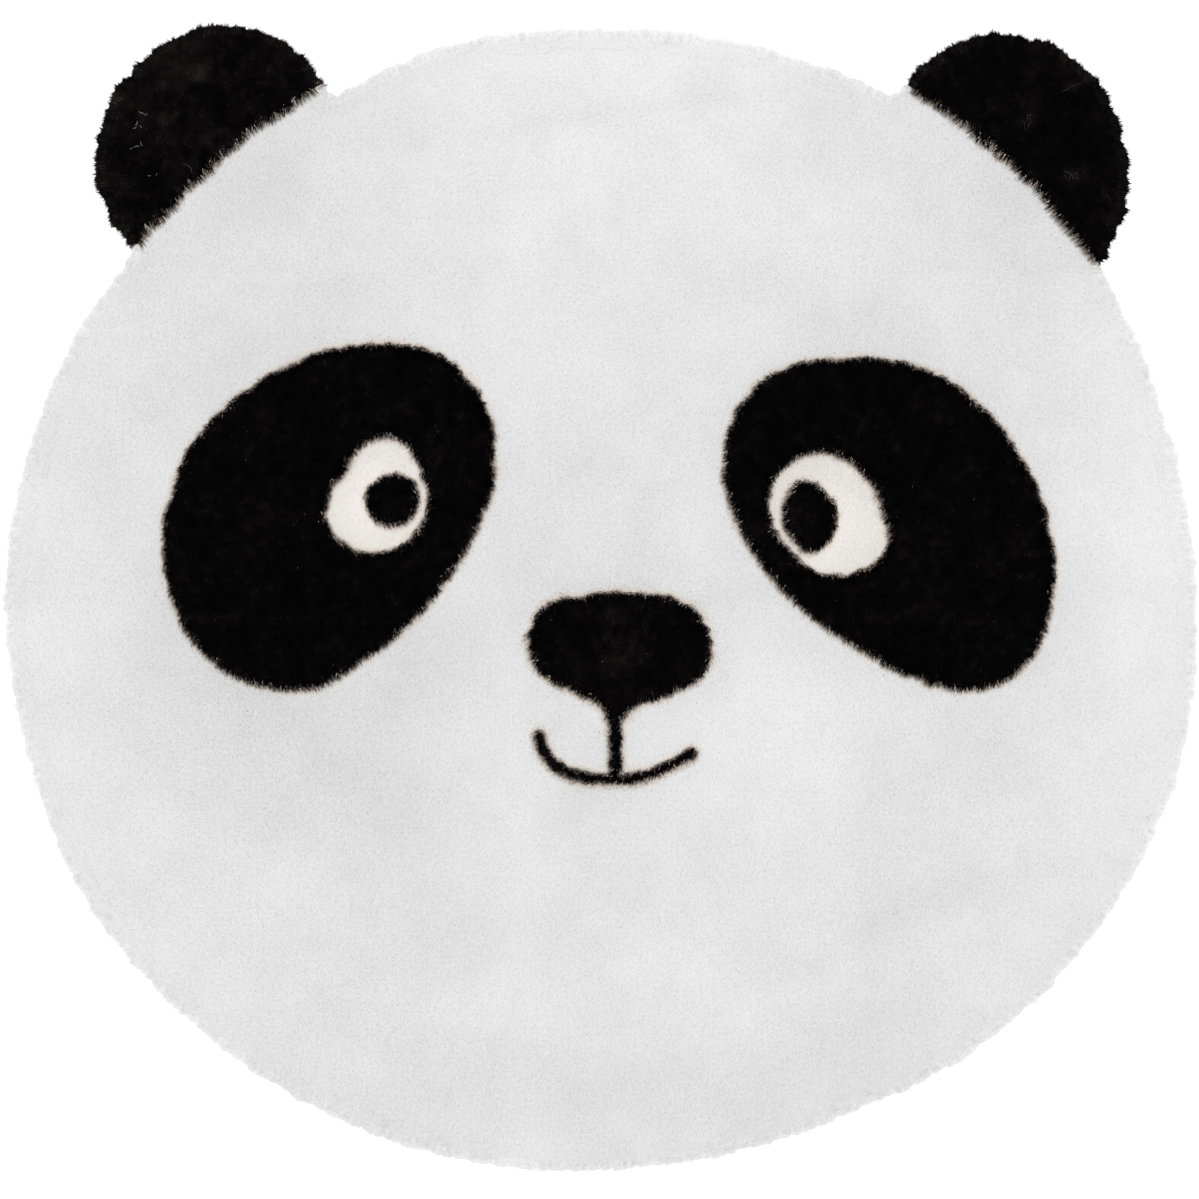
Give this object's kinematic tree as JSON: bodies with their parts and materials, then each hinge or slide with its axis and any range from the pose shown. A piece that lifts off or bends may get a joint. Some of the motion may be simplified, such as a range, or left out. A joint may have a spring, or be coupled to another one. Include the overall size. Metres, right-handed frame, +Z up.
{
  "type": "animal shaped kids rug",
  "caption": "Flat plush rug cut in the shape of a bear's head with round ears, its short dense pile printed with a black and white face.",
  "frame": {"origin": "on the floor, under the middle of the rug's outline box", "axes": "+X to the right of the face as it is looked at, +Y towards the ears, +Z up out of the pile"},
  "size_m": [0.906, 0.8702, 0.0155],
  "materials": {
    "plush": "matt soft pile, off-white with the face printed in black, paler tips and a faint tan tinge where the dye thins out"
  },
  "bodies": {
    "root": {"plush_rug": "plush"}
  },
  "joints": []
}
